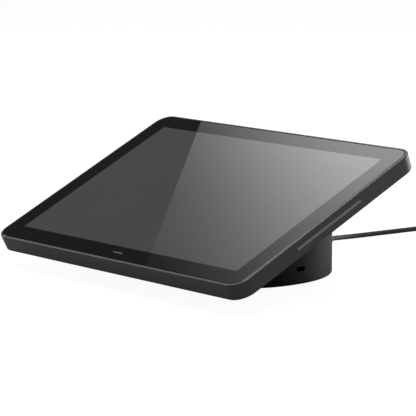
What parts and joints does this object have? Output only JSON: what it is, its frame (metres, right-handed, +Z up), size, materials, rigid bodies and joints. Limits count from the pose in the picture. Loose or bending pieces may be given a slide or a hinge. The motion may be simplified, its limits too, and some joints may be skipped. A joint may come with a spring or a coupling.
{
  "type": "smart display",
  "caption": "Leaning touch-screen smart display on a round weighted base, with status light bars, an underside cable bay and its coiled USB cable.",
  "frame": {"origin": "centre of the round base on the table top it stands on", "axes": "+X to the right of someone facing the screen, +Y to the back, +Z up"},
  "size_m": [0.248, 0.3778, 0.0908],
  "materials": {
    "cover_glass": "polished dark cover glass with a black printed border",
    "gasket_foam": "thin black foam gasket",
    "touch_film": "smoke-grey sensor film",
    "lcd_cell": "dark polarised display cell",
    "film_white": "milky optical film",
    "guide_acrylic": "clear acrylic light guide",
    "reflector_white": "white reflective film",
    "board_white": "white solder mask",
    "tray_steel": "pressed tin-plated steel",
    "frame_plastic": "charcoal satin plastic",
    "light_diffuser": "grey frosted light pipe, unlit",
    "board_green": "green solder mask",
    "antenna_flex": "black flexible antenna",
    "chassis_alloy": "die-cast light alloy",
    "screw_steel": "zinc plated steel screw",
    "connector_plastic": "black moulded connector",
    "chip_epoxy": "black chip package",
    "shield_tin": "tin-plated shield",
    "thermal_putty": "soft blue-grey thermal pad",
    "spreader_alloy": "thin aluminium sheet",
    "flex_amber": "amber polyimide flex",
    "back_plastic": "charcoal satin plastic",
    "screw_black": "black plated steel screw",
    "base_plastic": "charcoal satin plastic",
    "slot_steel": "hardened steel slot plate",
    "plate_steel": "zinc plated steel plate",
    "harness_sleeve": "black sleeved wires",
    "ballast_iron": "painted cast weight",
    "floor_plastic": "black textured plastic",
    "foot_rubber": "black non-slip rubber",
    "cover_plastic": "black textured plastic",
    "socket_metal": "stamped steel socket",
    "plug_plastic": "black moulded plug",
    "plug_metal": "stamped steel plug shell",
    "cord_jacket": "black smooth cable jacket",
    "button_plastic": "dark grey button",
    "switch_body": "black tactile switch",
    "speaker_basket": "black speaker frame",
    "speaker_paper": "dark paper cone",
    "speaker_steel": "plated magnet cup",
    "grommet_rubber": "black moulded strain relief"
  },
  "bodies": {
    "root": {"cover_glass": "cover_glass", "glass_gasket": "gasket_foam", "touch_sensor": "touch_film", "lcd_panel": "lcd_cell", "optical_films": "film_white", "light_guide": "guide_acrylic", "reflector_sheet": "reflector_white", "backlight_led_bar": "board_white", "backlight_tray": "tray_steel", "front_frame": "frame_plastic", "right_light_bar": "light_diffuser", "left_light_bar": "light_diffuser", "right_led_board": "board_white", "left_led_board": "board_white", "microphone_board": "board_green", "light_sensor": "board_green", "antennas": "antenna_flex", "chassis_plate": "chassis_alloy", "chassis_screws": "screw_steel", "mainboard": "board_green", "board_connectors": "connector_plastic", "processor": "chip_epoxy", "memory_chips": "chip_epoxy", "shield_can": "shield_tin", "thermal_pad": "thermal_putty", "heat_spreader": "spreader_alloy", "board_screws": "screw_steel", "display_flex": "flex_amber", "touch_flex": "flex_amber", "rear_cover": "back_plastic", "housing_screws": "screw_black", "base_shell": "base_plastic", "lock_slot_insert": "slot_steel", "mount_plate": "plate_steel", "mount_screws": "screw_steel", "base_harness": "harness_sleeve", "ballast_weight": "ballast_iron", "ballast_screws": "screw_steel", "base_floor": "floor_plastic", "base_screws": "screw_black", "foot_ring": "foot_rubber", "io_board": "board_green", "io_board_screws": "screw_steel", "usb_socket": "socket_metal", "usb_plug": "plug_plastic", "usb_plug_shell": "plug_metal", "cord_inner": "cord_jacket", "reset_switch": "switch_body", "speaker_frame": "speaker_basket", "speaker_cone": "speaker_paper", "speaker_magnet": "speaker_steel", "cable_grommet": "grommet_rubber", "cord_lead": "cord_jacket", "cord_coil": "cord_jacket", "cord_tail": "cord_jacket", "far_plug": "plug_plastic", "far_plug_shell": "plug_metal"},
    "cable_cover": {"cable_cover": "cover_plastic"},
    "reset_button": {"reset_button": "button_plastic"}
  },
  "joints": [
    {"name": "cable_cover_slide", "type": "slide", "parent": "root", "child": "cable_cover", "axis": [0, 1, 0], "range_m": [0, 0.008]},
    {"name": "reset_button_press", "type": "slide", "parent": "root", "child": "reset_button", "axis": [0, -1, 0], "range_m": [0, 0.0006], "stiffness_N_per_m": 1000, "springref_m": -0.001}
  ]
}
